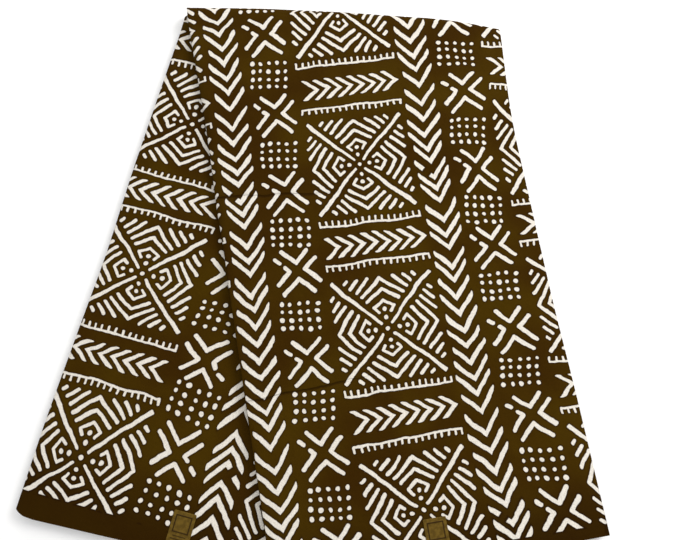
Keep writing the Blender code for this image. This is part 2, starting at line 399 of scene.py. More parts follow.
def cloth_path():
    """The cloth's way across the strip, back and forth: marks, shifts to the right, and heights."""
    marks, shifts, heights = [], [], []
    for index, level in enumerate(LEVELS):
        reaches = [fold_reach(each) if 0 <= each < PANELS else FREE_END for each in (index - 1, index)]
        to_right = index % 2 == 0
        left, right = reaches if to_right else reversed(reaches)
        run = run_marks(level)
        if index == 0:
            run = run[run >= FLAP_MARK]
        shift = left * np.clip(1 - run, 0, 1) - right * np.clip(run - LAST_MARK + 1, 0, 1)
        order = slice(None) if to_right else slice(None, None, -1)
        marks += list(run[order])
        shifts += list(shift[order])
        heights += [level_height(level)] * len(run)
        if index < PANELS:
            start, end = level_height(level), level_height(LEVELS[index + 1])
            for turn in FOLD_TURNS:
                bulge = abs(end - start) / 2 * cos(radians(turn)) - fold_reach(index)
                marks.append(LAST_MARK if to_right else 0)
                shifts.append(bulge if to_right else -bulge)
                heights.append((start + end) / 2 + (end - start) / 2 * sin(radians(turn)))
    return np.array(marks), np.array(shifts), np.array(heights)


MARK_COUNTS, SHIFTS, HEIGHTS = cloth_path()
STATION_LEVELS = (HEIGHTS - SHEET / 2) / PITCH


def end_distance(across, leg):
    from_left = across + HALF_WIDTH
    cut = np.interp(STATION_LEVELS, range(PANELS + 1), END_CUTS)
    corner = CORNER * np.clip(1 - from_left / ROLL_WIDTH, 0, 1) ** CORNER_POWER
    return HALF_LENGTH + END_REACH[leg] - END_SLANT[leg] * across - corner - cut


def strip_distance(across, share, leg):
    """How far along the strip from its middle a leg's row lies."""
    tangent = (BEND_HALF + leg * across * sin(FAN)) / cos(FAN)
    return tangent * (1 - share) + end_distance(across, leg) * share


def past_lower_edge(across, along):
    """How far a place on the upper leg lies past the lower leg's right edge, in the plan."""
    return along * sin(2 * FAN) + across * cos(2 * FAN) - BEND_HALF * sin(FAN) - HALF_WIDTH


def mark_places(share):
    """How far across the strip each mark lies on a row."""
    ends = np.array([0.0, 1.0])
    tangent = (BEND_HALF + ends * sin(FAN)) / cos(FAN)
    full = HALF_LENGTH + END_REACH[RIGHT] - END_SLANT[RIGHT] * ends
    at_middle, at_metre = past_lower_edge(ends, tangent * (1 - share) + full * share)
    past = DROOP_START + np.arange(DROOP_STEPS + 1) * DROOP_RUN / DROOP_STEPS
    free = (past - at_middle) / (at_metre - at_middle)
    tails = np.arange(DROOP_STEPS + 1, 0, -1) * TAIL
    droop = np.minimum(free, HALF_WIDTH - tails)
    return np.r_[-HALF_WIDTH, ROLL_REACH - HALF_WIDTH, FLAP_START, droop, HALF_WIDTH]


def wander(along):
    """How far each hidden fold strays inside the pile, at a distance along the strip."""
    hidden = np.interp(STATION_LEVELS, HIDDEN_LEVELS, (0, 1, 1, 0))
    near_edge = np.clip(1 - MARK_COUNTS, 0, 1) + np.clip(MARK_COUNTS - LAST_MARK + 1, 0, 1)
    level = np.round(STATION_LEVELS)
    return FOLD_WANDER * hidden * near_edge * np.sin(along / WANDER_PITCH + WANDER_TURN * level)


def across_places(share, along):
    return np.interp(MARK_COUNTS, range(MARKS), mark_places(share)) + SHIFTS + wander(along)


def stray(along, across):
    """How far a place on the strip lies to the right of where a straight strip would have it."""
    share = across / PANEL_WIDTH + 0.5
    return read_table(EDGES, "left", along) * (1 - share) + read_table(EDGES, "right", along) * share


def plan_place(along_crease, from_crease):
    """World directions of a place in the plan, before the part is centred."""
    return (
        along_crease * cos(CREASE_SLOPE) - from_crease * sin(CREASE_SLOPE),
        -along_crease * sin(CREASE_SLOPE) - from_crease * cos(CREASE_SLOPE),
    )


def bowed(along_crease, from_crease, past_bend):
    fade = 1 - smooth_step(past_bend / BOW_FADE)
    return from_crease - read_table(BOWS, "out", along_crease) * fade


def rolled_height(along, across):
    """The heights over the strip's outer face, with the soft edges at the left of both legs."""
    from_left = across + HALF_WIDTH
    roll_depth = np.interp(along, ROLL_ALONGS, ROLL_DEPTHS)
    outer = np.clip(1 - (STATION_LEVELS - ROLL_LEVEL) / ROLL_LEVELS, 0, 1)
    inner = np.clip((STATION_LEVELS - EDGE_LEVEL) / EDGE_LEVELS, 0, 1)
    roll = roll_depth * outer * np.clip(1 - from_left / ROLL_REACH, 0, 1) ** 2
    edge_depth = LOWER_EDGE_DEPTH * smooth_step(-along / LOWER_EDGE_FADE)
    slump = edge_depth * inner * np.clip(1 - from_left / LOWER_EDGE_REACH, 0, 1) ** 2
    return HEIGHTS + roll - slump


def rolling(along, across, leg):
    """Low waves in the pile, as a share of its thickness."""
    first = np.sin(along / FIRST_WAVE[0] + across / FIRST_WAVE[1] + leg)
    second = np.sin(across / SECOND_WAVE[0] - along / SECOND_WAVE[1] + 2 * leg)
    ends = smooth_step(along / END_EASE) * smooth_step((END_CALM - along) / END_EASE)
    return WAVE * (first + second) * ends


def crease_troughs(along, across, leg):
    """How much the old creases press the pile down, as a share of its thickness."""
    from_left = across + HALF_WIDTH
    pressed = 0 * along
    for crease in CREASES:
        if crease.leg == leg:
            bend = CREASE_BEND * np.sin(from_left / BEND_PITCH + crease.along * BEND_TURN)
            off = along - crease.along - crease.slope * from_left - bend
            reach = smooth_step((from_left - crease.start) / CREASE_EASE)
            reach = reach * smooth_step((crease.end - from_left) / CREASE_EASE)
            trough = np.exp(-((off / crease.width) ** 2))
            from_shoulder = (off - SHOULDER_OUT * crease.width) / (SHOULDER_WIDTH * crease.width)
            shoulder = np.exp(-(from_shoulder**2))
            pressed = pressed + crease.depth * reach * (trough - SHOULDER * shoulder)
    return pressed


def pile_loft(along, across, leg):
    return 1 + rolling(along, across, leg) - crease_troughs(along, across, leg)


def leg_place(along, across, leg):
    along_crease = leg * along * sin(FAN) + across * cos(FAN)
    past_bend = along * cos(FAN) - leg * across * sin(FAN) - BEND_HALF
    return plan_place(along_crease, bowed(along_crease, past_bend, past_bend))


def leg_row(share, leg):
    """A row's points on a leg, and how far along and across the straight strip they lie."""
    across = across_places(share if leg == RIGHT else 0.0, leg * share * HALF_LENGTH)
    along = strip_distance(across, share, leg)
    straight = across + stray(leg * along, across)
    x, y = leg_place(along, straight, leg)
    height = rolled_height(leg * along, across)
    loft = pile_loft(along, across, leg)
    if leg == LEFT:
        z = height * loft
    else:
        fall = DROP * smooth_step((past_lower_edge(across, along) - DROOP_START) / DROOP_RUN)
        z = MIDDLE_HEIGHT + LEG_GAP / 2 + (LEG_HEIGHT - height) * loft - fall
    return np.stack((x, y, z), -1), leg * along, straight


def bend_row(turn):
    """A row's points in the turned-over top."""
    across = across_places(0.0, 0.0)
    along = (BEND_HALF * turn / 90 + across * sin(FAN)) / cos(FAN)
    straight = across + stray(along, across)
    along_crease = along * sin(FAN) + straight * cos(FAN)
    radius = MIDDLE_HEIGHT - rolled_height(along, across)
    reach = -BEND_SQUASH * radius * cos(radians(turn))
    x, y = plan_place(along_crease, bowed(along_crease, reach, 0.0))
    return np.stack((x, y, MIDDLE_HEIGHT + radius * sin(radians(turn))), -1), along, straight


def print_places(points, along, straight):
    """Where a row's points lie on the flat cloth's print, in mm."""
    from_left = (straight + HALF_WIDTH) * 1000
    down = along * 1000
    share = (from_left - DRIFT_LEFT) / (DRIFT_RIGHT - DRIFT_LEFT)
    alongs, *columns = zip(*DRIFTS)
    left_x, right_x, left_y, right_y = (np.interp(down, alongs, column) for column in columns)
    stretch = np.where(down > 0, left_y * (1 - share) + right_y * share, 0)
    lift = smooth_step((from_left - LIFT_START) / LIFT_RUN) * smooth_step((LIFT_END - down) / LIFT_FADE)
    stretch = stretch - EDGE_LIFT * lift
    near, far = (np.interp(-down, BACK_ALONG, column) for column in BACK_STRETCH)
    side = np.clip((from_left - BACK_MIDDLE) / BACK_BLEND, 0, 1)
    stretch = stretch * smooth_step(down / PARTED_ALONG) - near * (1 - side) - far * side
    back = np.interp(from_left, BACK_ACROSS, BACK_PRINT) - BACK_REPEATS * REPEAT_WIDTH
    parted = smooth_step((down - PARTED_ACROSS[0]) / PARTED_ACROSS[1])
    from_left = from_left - (left_x * (1 - share) + right_x * share) * parted
    walked = np.r_[0, np.cumsum(np.linalg.norm(np.diff(points, axis=0), axis=1))] * 1000
    level = np.round(STATION_LEVELS, 3)
    outer = np.flatnonzero(level == 0)
    right_end, left_end = outer[0], outer[-1]
    back_start = np.flatnonzero(level == PANELS)[0]
    places = from_left.copy()
    places[:right_end] = from_left[right_end] + walked[right_end] - walked[:right_end]
    hidden = slice(left_end, back_start)
    share = (walked[hidden] - walked[left_end]) / (walked[back_start] - walked[left_end])
    places[hidden] = from_left[left_end] * (1 - share) + back[back_start] * share
    places[back_start:] = back[back_start:]
    return np.stack((places, down - stretch), -1)


# ---------------------------------------------------------------- shader expressions


class Wire:
    """The output of a shader node. An expression on wires and numbers adds the Math nodes it needs."""

    def __init__(self, look, socket):
        self.look = look
        self.socket = socket

    def maths(self, operation, *others):
        return self.look.maths(operation, self, *others)

    def __add__(self, other):
        return self.maths("ADD", other)

    def __radd__(self, other):
        return self.look.maths("ADD", other, self)

    def __sub__(self, other):
        return self.maths("SUBTRACT", other)

    def __rsub__(self, other):
        return self.look.maths("SUBTRACT", other, self)

    def __mul__(self, other):
        return self.maths("MULTIPLY", other)

    def __rmul__(self, other):
        return self.look.maths("MULTIPLY", other, self)

    def __truediv__(self, other):
        return self.maths("DIVIDE", other)

    def __rtruediv__(self, other):
        return self.look.maths("DIVIDE", other, self)

    def __abs__(self):
        return self.maths("ABSOLUTE")

    def times_plus(self, factor, addend):
        return self.maths("MULTIPLY_ADD", factor, addend)

    def at_most(self, other):
        return self.maths("MINIMUM", other)

    def at_least(self, other):
        return self.maths("MAXIMUM", other)

    def held(self, low, high):
        return self.at_least(low).at_most(high)

    def over(self, limit):
        """1 where the value is over the limit, and 0 elsewhere."""
        return self.maths("GREATER_THAN", limit)

    def under(self, limit):
        return self.maths("LESS_THAN", limit)

    def rounded(self):
        return self.maths("ROUND")

    def sine(self):
        return self.maths("SINE")

    def nearest_step(self, step):
        """How many whole steps the value is from zero."""
        return (self / step).rounded()

    def wrapped(self, period):
        """The value's offset from the nearest whole number of periods."""
        return self.maths("WRAP", period / 2, -period / 2)

    def folded(self, period):
        """The distance to the nearest whole number of periods."""
        return self.maths("PINGPONG", period / 2)

    def beyond(self, reach):
        """How far the value lies past a reach, or 0 inside it."""
        return (self - reach).at_least(0.0)

    def root(self):
        return self.maths("SQRT")

    def ramp(self, low, high):
        """Rises smoothly from 0 at low to 1 at high."""
        inputs = {"Value": self, "From Min": low, "From Max": high}
        return self.look.node("ShaderNodeMapRange", inputs, interpolation_type="SMOOTHSTEP")


class Look:
    """A material whose nodes are added one by one."""

    def __init__(self, name):
        self.material = bpy.data.materials.new(name)
        self.material.use_nodes = True
        self.tree = self.material.node_tree
        self.shader = self.tree.nodes["Principled BSDF"]

    def node(self, kind, inputs, output=0, steps=(), **settings):
        """Adds a node with its settings, or a ramp with flat steps of grey, and feeds its sockets."""
        made = self.tree.nodes.new(kind)
        for name, value in settings.items():
            setattr(made, name, value)
        if steps:
            made.color_ramp.interpolation = "CONSTANT"
            elements = made.color_ramp.elements
            elements.remove(elements[1])
            for position, level in steps:
                step = elements[0] if position == 0 else elements.new(position)
                step.color = (level, level, level, 1.0)
        for name, value in inputs.items():
            self.feed(made.inputs[name], value)
        return Wire(self, made.outputs[output])

    def maths(self, operation, *operands):
        return self.node("ShaderNodeMath", dict(enumerate(operands)), operation=operation)

    def charted(self, value, centres, period):
        """The value's offset from the nearest of several centres, which repeat, and that centre."""
        start = (centres[0] + centres[-1] - period) / 2
        place = (value - start).maths("FLOORED_MODULO", period)
        limits = [0.0] + [(one + other) / 2 - start for one, other in zip(centres, centres[1:])]
        steps = [(limit / period, (centre - start) / period) for limit, centre in zip(limits, centres)]
        centre = self.node("ShaderNodeValToRGB", {0: place / period}, steps=steps) * period
        return place - centre, centre + start

    def feed(self, socket, value):
        if isinstance(value, Wire):
            self.tree.links.new(value.socket, socket)
        else:
            socket.default_value = value

    def mix(self, factor, first, second):
        inputs = {0: factor, 6: first, 7: second}
        return self.node("ShaderNodeMix", inputs, output=2, data_type="RGBA")

    def vector(self, operation, *operands, output=0):
        return self.node("ShaderNodeVectorMath", dict(enumerate(operands)), output, operation=operation)

    def noise(self, place, size, detail=1.0, output=0):
        """Noise of about a given size, in the place's own unit."""
        inputs = {"Vector": place, "Scale": 1 / size, "Detail": detail}
        return self.node("ShaderNodeTexNoise", inputs, output, noise_dimensions="2D")

    def random(self, place):
        """Three random numbers from 0 to 1 for each place."""
        return self.split(self.node("ShaderNodeTexWhiteNoise", {"Vector": place}, 1, noise_dimensions="2D"))

    def split(self, vector):
        made = self.node("ShaderNodeSeparateXYZ", {0: vector})
        return [Wire(self, output) for output in made.socket.node.outputs]

    def join(self, x, y):
        return self.node("ShaderNodeCombineXYZ", {0: x, 1: y})

    def bump(self, height, distance, strength):
        inputs = {"Height": height, "Distance": distance, "Strength": strength}
        return self.node("ShaderNodeBump", inputs)

    def finish(self, **sockets):
        for name, value in sockets.items():
            self.feed(self.shader.inputs[name.replace("_", " ")], value)
        return self.material


# ---------------------------------------------------------------- the print, in mm


def stroke(x, y, start, end):
    """The squared distance to a straight stroke between two points."""
    (x0, y0), (x1, y1) = start, end
    length = hypot(x1 - x0, y1 - y0)
    right, down = (x1 - x0) / length, (y1 - y0) / length
    middle_x, middle_y = (x0 + x1) / 2, (y0 + y1) / 2
    along = x.times_plus(right, y.times_plus(down, -middle_x * right - middle_y * down))
    over = abs(along).beyond(length / 2)
    across = x.times_plus(-down, y.times_plus(right, middle_x * down - middle_y * right))
    return across.times_plus(across, over * over)


def strokes(x, y, lines):
    """The squared distance to the nearest of several bent lines."""
    nearest = None
    for line in lines:
        for start, end in zip(line, line[1:]):
            found = stroke(x, y, start, end)
            nearest = found if nearest is None else nearest.at_most(found)
    return nearest


def chevrons(look, x, y):
    """The columns of nested chevrons, one of them broken in each repeat."""
    across = (x - CHEVRON_X).wrapped(REPEAT_WIDTH)
    side = across.over(0.0)
    reach = abs(across)
    slope = side.times_plus(CHEVRON_STEEPER, CHEVRON_SLOPE)
    off, centre = look.charted(reach.times_plus(slope, y), CHEVRON_CENTRES, REPEAT_HEIGHT)
    length, _, lean = look.random(look.join(centre.rounded(), side))
    over = (reach - (length - 0.5) * CHEVRON_UNEVEN).beyond(CHEVRON_ARM) * CHEVRON_BLUNT
    near = (off - (lean - 0.5) * CHEVRON_LEAN * reach) * CHEVRON_THIN
    arms = near.times_plus(near, over * over).root() - CHEVRON_HALF
    broken = abs(centre - BROKEN_CENTRE).under(1.0)
    from_break = abs(off.times_plus(BREAK_SLOPE, across - BREAK_X))
    gap = BREAK_HALF - from_break - (1.0 - broken) * UNBROKEN
    return arms.at_least(gap)


def crosses(look, x, y):
    """The crosses of four bent strokes, with a short dash at the upper left."""
    x = (x - CROSS_X).wrapped(REPEAT_WIDTH)
    y, _ = look.charted(y, CROSS_CENTRES, REPEAT_HEIGHT)
    return strokes(x, y, CROSS_LINES).root() - CROSS_HALF


def dot_grids(look, x, y, other_end):
    """The small grids of dots, five across and four down, wider at the cloth's other end."""
    pitch = other_end.times_plus(DOT_PITCH_MORE, DOT_PITCH)
    x = (x - DOTS_X).wrapped(REPEAT_WIDTH)
    y, row = look.charted(y, DOTS_CENTRES, REPEAT_HEIGHT)
    across = x.times_plus(cos(DOTS_LEAN), y * sin(DOTS_LEAN))
    down = y.times_plus(cos(DOTS_LEAN), x * -sin(DOTS_LEAN)) - DOT_ROWS_MIDDLE
    column = across.nearest_step(pitch).held(*DOT_COLUMNS)
    line = down.nearest_step(DOT_PITCH_DOWN).held(*DOT_ROWS)
    right, low, size = look.random(look.join(column.times_plus(7.0, line), row.rounded()))
    off_x = across - column * pitch - (right - 0.5) * DOT_STRAY
    off_y = down - line * DOT_PITCH_DOWN - (low - 0.5) * DOT_STRAY
    return off_x.times_plus(off_x, off_y * off_y).root() - size.times_plus(DOT_MORE, DOT_LEAST)


def blocks(x, y):
    """The large square blocks of nested strokes round a crossing, folded on both diagonals."""
    x = (x - BLOCK_X).folded(REPEAT_WIDTH)
    y = abs((y - BLOCK_MIDDLE).folded(REPEAT_HEIGHT) - BLOCK_SPREAD)
    side = x.at_most(y)
    out = x.at_least(y)
    thick = strokes(side, out, BLOCK_VS).root() - THICK_HALF
    thin = strokes(side, out, BLOCK_LINES).root() - THIN_HALF
    off = abs(out - RING_OUT) - RING_SPREAD
    ring = side.times_plus(side, off * off).root() - RING_HALF
    middle = side.times_plus(side, out * out).root() - MIDDLE_HALF
    return thick.at_most(thin).at_most(ring).at_most(middle)


def bands(x, y):
    """The rows of arrowheads between two combs."""
    x = (x - BLOCK_X).wrapped(REPEAT_WIDTH)
    far = (y - BAND_CENTRE).folded(REPEAT_HEIGHT)
    narrow = far.over(REPEAT_HEIGHT / 4)
    y = (y - BAND_CENTRE).wrapped(REPEAT_HEIGHT / 2)
    wide = abs(y - ARROW_MIDDLE)
    sheared = wide.times_plus(ARROW_SLOPE, x) + ARROW_REACH
    arrow = sheared.nearest_step(ARROW_PITCH).held(0.0, LAST_ARROW)
    near = (sheared - arrow * ARROW_PITCH) * ARROW_THIN
    over = wide.beyond(ARROW_ARM) * ARROW_BLUNT
    arrows = near.times_plus(near, over * over).root() - ARROW_HALF
    from_line = abs(y - x * COMB_LEAN) - narrow.times_plus(-COMB_NARROWER, COMB_OUT)
    past_end = abs(x).beyond(COMB_REACH)
    line = past_end.times_plus(past_end, from_line * from_line)
    tooth = x - x.nearest_step(TOOTH_PITCH).held(-LAST_TOOTH, LAST_TOOTH) * TOOTH_PITCH
    off = abs(from_line - TOOTH_MIDDLE).beyond(TOOTH_MIDDLE)
    comb = tooth.times_plus(tooth, off * off).at_most(line).root() - COMB_HALF
    return arrows.at_most(comb)


def print_edge(look, x, y):
    """The distance from the nearest painted edge, below zero inside a painted stroke."""
    edge = chevrons(look, x, y)
    edge = edge.at_most(crosses(look, x, y))
    other_end = x.under(OTHER_END)
    edge = edge.at_most(dot_grids(look, x, y, other_end))
    dropped = other_end.times_plus(REPEAT_HEIGHT / 2, y)
    edge = edge.at_most(blocks(x, dropped))
    return edge.at_most(bands(x, dropped))


def creases(x, y):
    """How much a place lies in one of the sharp old creases, from 0 to 1, which sets both their dent in the
    bump and their painted shade.
    """
    upper = x.over(CREASE_START) - x.ramp(*CREASE_FADE)
    across = None
    for crease in CREASES:
        off = abs(x.times_plus(-crease.slope, y - crease.along * 1000))
        across = off if across is None else across.at_most(off)
    long = upper - across.ramp(0.0, CREASE_LINE)
    short = 1.0 - stroke(x, y, *SHORT_CREASE).root().ramp(0.0, CREASE_LINE)
    return long.at_least(short).at_least(0.0)


def printed_cotton(settings):
    """Matt cotton cloth with a hand-drawn print of pale strokes on brown, plain along both selvedges, with
    painted shade along its old creases.
    """
    look = Look("printed_cotton")
    place = look.node("ShaderNodeUVMap", {}, uv_map=PRINT_MAP)
    wave = look.noise(place, WAVE_SIZE, output=1)
    shake = look.noise(place, SHAKE_SIZE, output=1)
    drift = look.vector("MULTIPLY_ADD", wave, (WAVE_REACH, WAVE_REACH, 0.0), place)
    drift = look.vector("MULTIPLY_ADD", shake, (SHAKE_REACH, SHAKE_REACH, 0.0), drift)
    middle = (WAVE_REACH + SHAKE_REACH) / 2
    x, y, _ = look.split(look.vector("SUBTRACT", drift, (middle, middle, 0.0)))
    edge = print_edge(look, x, y)
    _, true_y, _ = look.split(place)
    selvedge = abs(true_y - PLAIN_MIDDLE) - PLAIN_EDGE
    edge = edge.at_least(selvedge)
    painted = 1.0 - edge.ramp(*STROKE_EDGE)
    halo = 1.0 - edge.ramp(*HALO_EDGE)
    patchy = look.noise(place, PATCH_SIZE, 2.0).ramp(0.25, 0.75)
    grain = look.noise(place, GRAIN_SIZE, 2.0)
    ground = look.mix(patchy, (*settings.ground_dark, 1.0), (*settings.ground_light, 1.0))
    darker = halo.times_plus(DARKER, selvedge.ramp(*SELVEDGE_EDGE) * DARKER)
    ground = look.mix(darker, ground, (*settings.halo_and_crease_shade, 1.0))
    pale = look.mix(grain.ramp(0.3, 0.75), (*settings.print_dark, 1.0), (*settings.print_light, 1.0))
    # Painted shade: along the old creases the ground is darkened toward the halo brown, and the bump below
    # is dented
    crease_dent_and_shade = creases(x, y)
    ground = look.mix(crease_dent_and_shade * DARKER, ground, (*settings.halo_and_crease_shade, 1.0))
    colour = look.mix(painted, ground, pale)
    turns = 2 * pi / THREAD
    thread_x, thread_y, _ = look.split(look.vector("MULTIPLY", place, (turns, turns, 0.0)))
    weave = thread_x.sine() * thread_y.sine()
    crinkle = look.noise(place, CRINKLE_SIZE, 2.0) + look.noise(place, FINE_CRINKLE_SIZE) * FINE_SHARE
    height = crinkle.times_plus(settings.crinkle, weave * THREAD_DEPTH)
    height = height - crease_dent_and_shade * CREASE_DEPTH
    return look.finish(
        Base_Color=colour,
        Roughness=grain.times_plus(0.12, 0.72) - painted * 0.04,
        Normal=look.bump(height, 1.0, 1.0),
        Specular_IOR_Level=0.02,
    )


def gold_foil(settings):
    """Dull gold foil on paper, faintly rubbed and creased."""
    look = Look("gold_foil")
    place = look.node("ShaderNodeTexCoord", {}, output=3)
    rubbed = look.noise(place, 0.004, 3.0).ramp(0.35, 0.7)
    colour = look.mix(rubbed, (*settings.foil_dark, 1.0), (*settings.foil_light, 1.0))
    pressed, _, _ = look.split(look.node("ShaderNodeUVMap", {}, uv_map=PRESSED_MAP))
    colour = look.mix(pressed, colour, (*settings.foil_pressed, 1.0))
    pits = look.noise(place, 0.0009, 2.0)
    return look.finish(
        Base_Color=colour,
        Metallic=0.35,
        Roughness=rubbed.times_plus(0.16, 0.42),
        Specular_IOR_Level=0.1,
        Normal=look.bump(pits, 0.00012, 0.6),
    )


def floor_paint(settings):
    """A plain pale matt floor."""
    look = Look("pale_floor")
    place = look.node("ShaderNodeTexCoord", {}, output=3)
    even = look.noise(place, 0.6)
    pale = settings.floor_colour
    colour = look.mix(even, (*pale, 1.0), (*[part * 0.985 for part in pale], 1.0))
    return look.finish(Base_Color=colour, Roughness=0.9, Specular_IOR_Level=0.1)


# ---------------------------------------------------------------- pieces


def add_piece(name, vertices, faces, look):
    mesh = bpy.data.meshes.new(name)
    mesh.from_pydata(vertices, [], faces)
    mesh.materials.append(look)
    mesh.shade_smooth()
    piece = bpy.data.objects.new(name, mesh)
    bpy.context.scene.collection.objects.link(piece)
    return piece


def sharpen_ends(mesh):
    """Marks the cut edges of a sheet, so that the sheet's shading stays even up to them."""
    bm = bmesh.new()
    bm.from_mesh(mesh)
    for edge in bm.edges:
        edge.smooth = not edge.is_boundary
    bm.to_mesh(mesh)
    bm.free()


def make_cloth(settings):
    rows = [leg_row(share, LEFT) for share in LOWER_SHARES[::-1]]
    rows += [bend_row(turn) for turn in BEND_TURNS]
    rows += [leg_row(share, RIGHT) for share in UPPER_SHARES]
    points = np.array([row[0] for row in rows])
    points[..., :2] -= PLAN_MIDDLE
    prints = np.array([print_places(*row) for row in rows])
    across = points.shape[1]
    corners = np.arange(points.shape[0] * across).reshape(points.shape[:2])
    quads = (corners[:-1, :-1], corners[:-1, 1:], corners[1:, 1:], corners[1:, :-1])
    quads = np.stack(quads, -1).reshape(-1, 4)
    cloth = add_piece("printed_cloth", points.reshape(-1, 3), quads.tolist(), printed_cotton(settings))
    sheet_map = cloth.data.uv_layers.new(name=PRINT_MAP)
    sheet_map.uv.foreach_set("vector", prints.reshape(-1, 2)[quads.ravel()].ravel())
    sharpen_ends(cloth.data)
    thicken = cloth.modifiers.new("thickness", "SOLIDIFY")
    thicken.thickness = settings.sheet_thickness
    thicken.offset = 0.0
    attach(cloth, "root")
    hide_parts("cloth")
    return cloth


def disc_corner(x, y, half_x, half_y, radius):
    """Moves a place in a rectangle's corner so that the corner becomes round."""
    u = (abs(x) - half_x + radius) / radius
    v = (abs(y) - half_y + radius) / radius
    if u <= 0 or v <= 0:
        return x, y
    round_x = half_x - radius + radius * u * (1 - v * v / 2) ** 0.5
    round_y = half_y - radius + radius * v * (1 - u * u / 2) ** 0.5
    return (round_x if x > 0 else -round_x), (round_y if y > 0 else -round_y)


def emboss(x, y, settings):
    """How far the label's plain pressed frame and lines stand up at a place."""
    def band(value, middle, half):
        return float(smooth_step((half - abs(value - middle)) / PRESSED_EDGE + 0.5))
    ring = band(max(abs(x), abs(y - FRAME_MIDDLE)), FRAME_HALF, FRAME_LINE / 2)
    lines = sum(band(y, middle, LINE_HALF) * band(x, 0.0, half) for middle, half in LABEL_LINES)
    return settings.emboss_depth * max(ring, min(lines, 1.0))


def make_label(label, settings, look):
    """A thin foil label on the top layer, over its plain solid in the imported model."""
    low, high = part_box(label.node)
    middle = Vector(((low[0] + high[0]) / 2, (low[1] + high[1]) / 2, low[2]))
    half_x, half_y = settings.label_width / 2, settings.label_length / 2
    xs = np.linspace(-half_x, half_x, LABEL_GRID[0] + 1)
    ys = np.linspace(-half_y, half_y, LABEL_GRID[1] + 1)
    top = settings.label_thickness
    rounded = [[disc_corner(x, y, half_x, half_y, LABEL_CORNER) for x in xs] for y in ys]
    upper, lower = [], []
    for row, y in zip(rounded, ys):
        for (px, py), x in zip(row, xs):
            inside = min(half_x - abs(x), half_y - abs(y))
            edge = LABEL_ROUND * (1 - float(smooth_step(inside / LABEL_ROUND)))
            curl = settings.curl * (x / half_x) ** 2 * (0.5 + 0.5 * y / half_y)
            upper.append((px, py, top - edge + emboss(x, y, settings) + curl))
            lower.append((px, py, curl))
    count_x, count_y = len(xs), len(ys)
    total = count_x * count_y
    faces = []
    for j in range(count_y - 1):
        for i in range(count_x - 1):
            a = j * count_x + i
            quad = (a, a + 1, a + count_x + 1, a + count_x)
            faces += [quad, tuple(corner + total for corner in reversed(quad))]
    rim = list(range(count_x))
    rim += [j * count_x + count_x - 1 for j in range(1, count_y)]
    rim += [(count_y - 1) * count_x + i for i in range(count_x - 2, -1, -1)]
    rim += [j * count_x for j in range(count_y - 2, 0, -1)]
    for here, there in zip(rim, rim[1:] + rim[:1]):
        faces.append((there, here, here + total, there + total))
    turn = Matrix.Rotation(label.leg * FAN - CREASE_SLOPE, 4, "Z")
    place = Matrix.Translation(middle) @ turn
    corners = [place @ Vector(corner) for corner in upper + lower]
    piece = add_piece(label.node.replace("label", "foil_label"), corners, faces, look)
    amounts = [emboss(x, y, settings) / settings.emboss_depth for y in ys for x in xs] + [0.0] * total
    pressed = piece.data.uv_layers.new(name=PRESSED_MAP)
    for loop, spot in zip(piece.data.loops, pressed.uv):
        spot.vector = (amounts[loop.vertex_index], 0.0)
    piece.data.set_sharp_from_angle(angle=radians(50))
    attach(piece, "root")
    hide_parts(label.node)


def area_light(name, place, aim, size, power, colour):
    lamp = bpy.data.lights.new(name, "AREA")
    lamp.shape = "DISK"
    lamp.size = size
    lamp.energy = power
    lamp.color = colour
    made = bpy.data.objects.new(name, lamp)
    made.location = place
    made.rotation_euler = (Vector(aim) - Vector(place)).to_track_quat("-Z", "Y").to_euler()
    bpy.context.scene.collection.objects.link(made)


def make_floor(settings):
    half = settings.floor_size / 2
    corners = [(-half, -half, 0.0), (half, -half, 0.0), (half, half, 0.0), (-half, half, 0.0)]
    floor = add_piece("floor", corners, [(0, 1, 2, 3)], floor_paint(settings))


def make_lights(settings):
    aim = (0.0, 0.0, 0.0)
    area_light("key_light", (1.15, 0.75, 1.25), aim, 0.9, settings.key_power, (1.0, 0.985, 0.96))
    area_light("top_light", (-0.1, 0.1, 1.9), aim, 2.2, settings.top_power, (1.0, 1.0, 1.0))
    area_light("back_light", (0.0, 1.7, 0.55), aim, 1.2, settings.back_power, (1.0, 0.97, 0.92))
    world = bpy.data.worlds.new("studio")
    world.use_nodes = True
    world.node_tree.nodes["Background"].inputs["Color"].default_value = (*settings.air_colour, 1.0)
    world.node_tree.nodes["Background"].inputs["Strength"].default_value = settings.air_strength
    bpy.context.scene.world = world


def make_camera():
    lens = bpy.data.cameras.new("camera")
    lens.lens = 36.0
    lens.sensor_width = 36.0
    lens.clip_start = 0.01
    camera = bpy.data.objects.new("camera", lens)
    camera.location = CAMERA_PLACE
    camera.rotation_euler = (CAMERA_TILT, 0.0, 0.0)
    bpy.context.scene.collection.objects.link(camera)
    bpy.context.scene.camera = camera


# ---------------------------------------------------------------- settings, operators and panel


def colour_property(name, description, default):
    return bpy.props.FloatVectorProperty(
        name=name, description=description, default=default, size=3, min=0.0, max=1.0, subtype="COLOR"
    )


def length_property(name, description, default):
    return bpy.props.FloatProperty(
        name=name, description=description, default=default, min=0.0, unit="LENGTH", precision=5
    )


def strength_property(name, description, default, unit="POWER"):
    return bpy.props.FloatProperty(name=name, description=description, default=default, min=0.0, unit=unit)


class ClothSettings(bpy.types.PropertyGroup):
    """Sizes and colours of the printed cloth."""

    sheet_thickness: length_property("Sheet thickness", "Thickness of one layer of the cloth", SHEET)
    crinkle: length_property("Crinkle", "Height of the fine crinkles in the cloth", 0.0012)
    ground_dark: colour_property("Ground, dark", "Darker brown of the ground", (0.034, 0.0140, 0.0005))
    ground_light: colour_property("Ground, light", "Lighter brown of the ground", (0.048, 0.0245, 0.0006))
    # This brown is also the colour of the painted shade along the old creases
    halo_and_crease_shade: colour_property("Ground, halo", "Brown beside the pale strokes", (0.019, 0.0072, 0.0004))
    print_dark: colour_property("Print, dark", "Darker off-white of the strokes", (0.64, 0.595, 0.525))
    print_light: colour_property("Print, light", "Lighter off-white of the strokes", (0.74, 0.70, 0.63))


